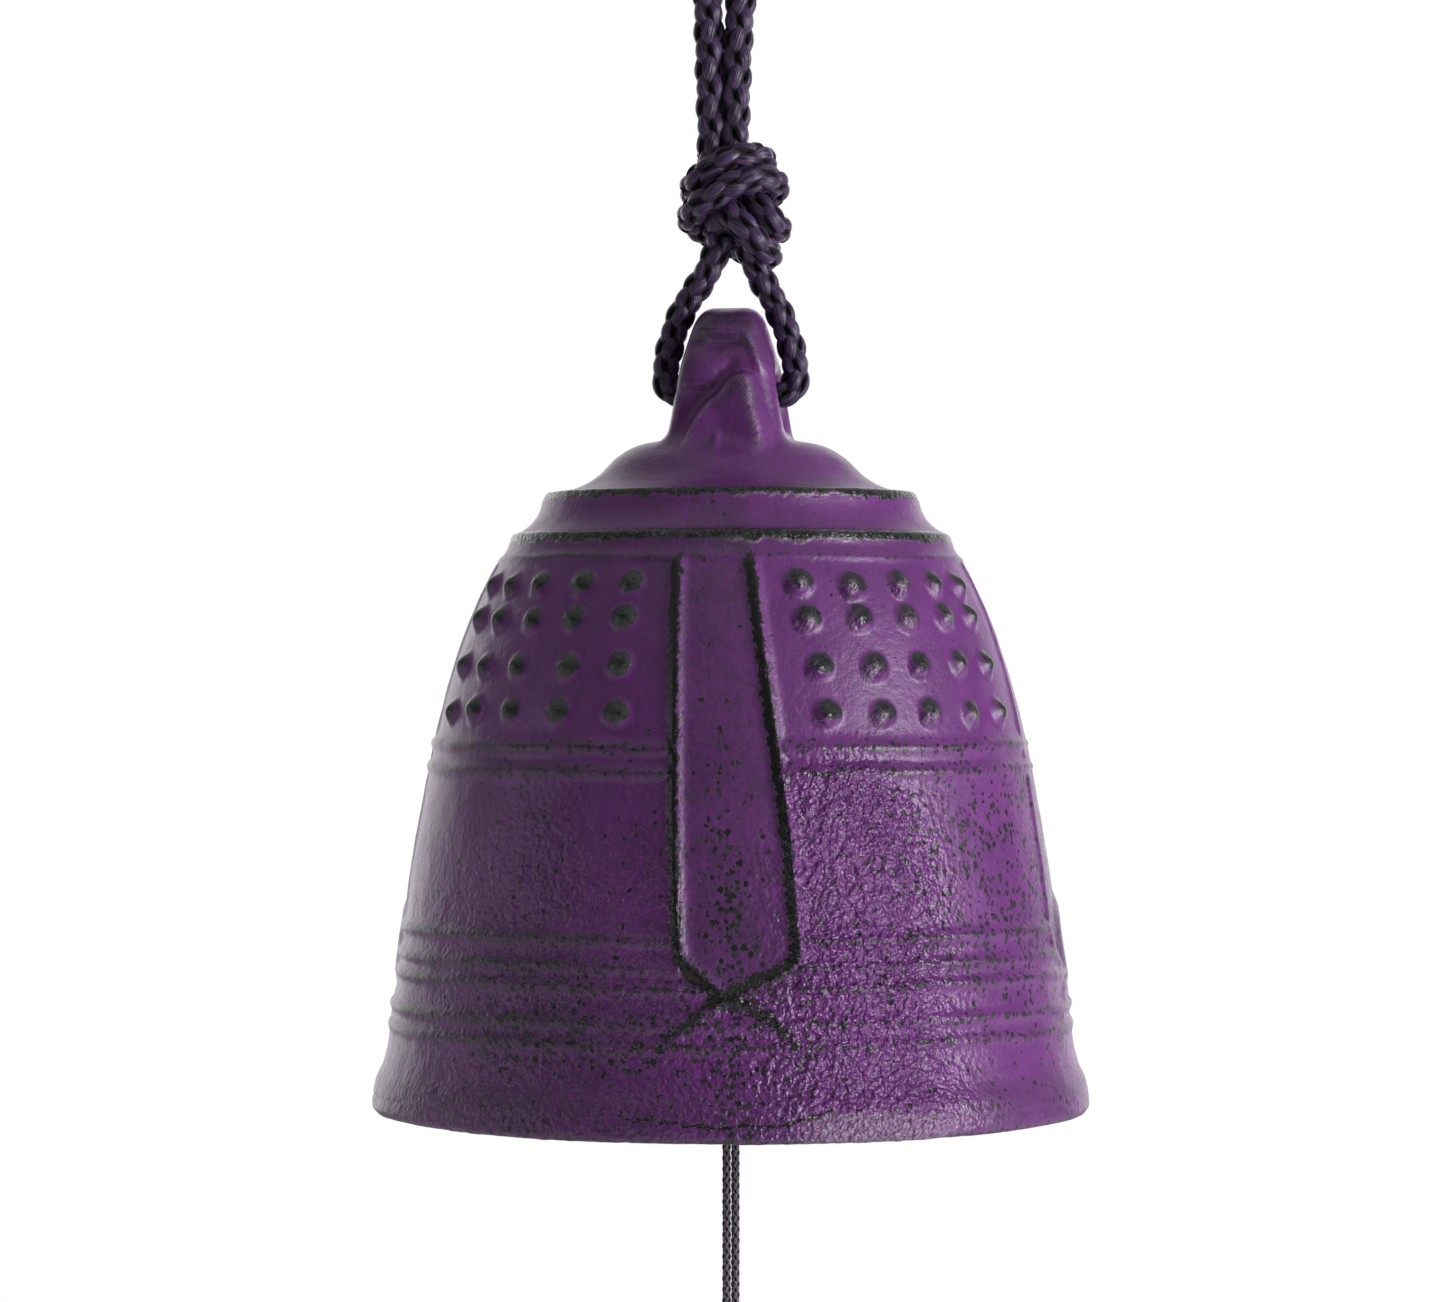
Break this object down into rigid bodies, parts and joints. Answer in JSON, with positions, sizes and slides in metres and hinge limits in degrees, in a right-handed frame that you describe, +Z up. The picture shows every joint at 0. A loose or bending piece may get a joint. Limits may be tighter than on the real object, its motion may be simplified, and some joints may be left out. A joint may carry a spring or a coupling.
{
  "type": "wind bell",
  "caption": "Small cast-iron wind bell in temple-bell form on a doubled braided cord, with a hanging clapper and a paper strip that catches the wind.",
  "frame": {"origin": "the hanging point: the underside of the cord at the top of the hanging loop, where a hook bears", "axes": "+Z up along the bell's axis, +X to the right and +Y to the back, with a strap of the bell facing -Y"},
  "size_m": [0.06, 0.06, 0.2601],
  "materials": {
    "bell_iron": "matt purple paint with cast grain, worn to black iron on rings, bosses and ribs",
    "clapper_iron": "black cast iron",
    "eye_wire": "dull steel wire",
    "hanger_cord": "dark purple round braid",
    "clapper_thread": "greyish purple fine braid",
    "strip_paper": "plain laid paper"
  },
  "bodies": {
    "hanger": {"hanging_loop": "hanger_cord", "hanger_knot": "hanger_cord", "lug_loop": "hanger_cord"},
    "bell": {"bell": "bell_iron", "clapper_eye": "eye_wire", "eye_loop": "clapper_thread"},
    "eye_knot": {"eye_knot": "clapper_thread"},
    "clapper": {"clapper_cord": "clapper_thread", "clapper": "clapper_iron", "clapper_knot": "clapper_thread"},
    "strip_cord": {"strip_cord": "clapper_thread"},
    "strip_knot": {"strip_knot": "clapper_thread"},
    "wind_strip": {"strip_loop": "clapper_thread", "wind_strip": "strip_paper"}
  },
  "joints": [
    {"name": "bell_rock", "type": "hinge", "parent": "hanger", "child": "bell", "pos_m": [0, 0, -0.05], "axis": [1, 0, 0], "range_deg": [-20, 20]},
    {"name": "clapper_turn", "type": "hinge", "parent": "bell", "child": "eye_knot", "pos_m": [0, 0, -0.0678], "axis": [0, 0, 1], "continuous": true},
    {"name": "clapper_swing", "type": "hinge", "parent": "eye_knot", "child": "clapper", "pos_m": [0, 0, -0.0678], "axis": [1, 0, 0], "range_deg": [-22, 22]},
    {"name": "strip_cord_swing", "type": "hinge", "parent": "clapper", "child": "strip_cord", "pos_m": [0, 0, -0.10802], "axis": [1, 0, 0], "range_deg": [-40, 40]},
    {"name": "strip_turn", "type": "hinge", "parent": "strip_cord", "child": "strip_knot", "pos_m": [0, 0, -0.1448], "axis": [0, 0, 1], "continuous": true},
    {"name": "strip_flap", "type": "hinge", "parent": "strip_knot", "child": "wind_strip", "pos_m": [0, 0, -0.1448], "axis": [1, 0, 0], "range_deg": [-60, 60]}
  ]
}
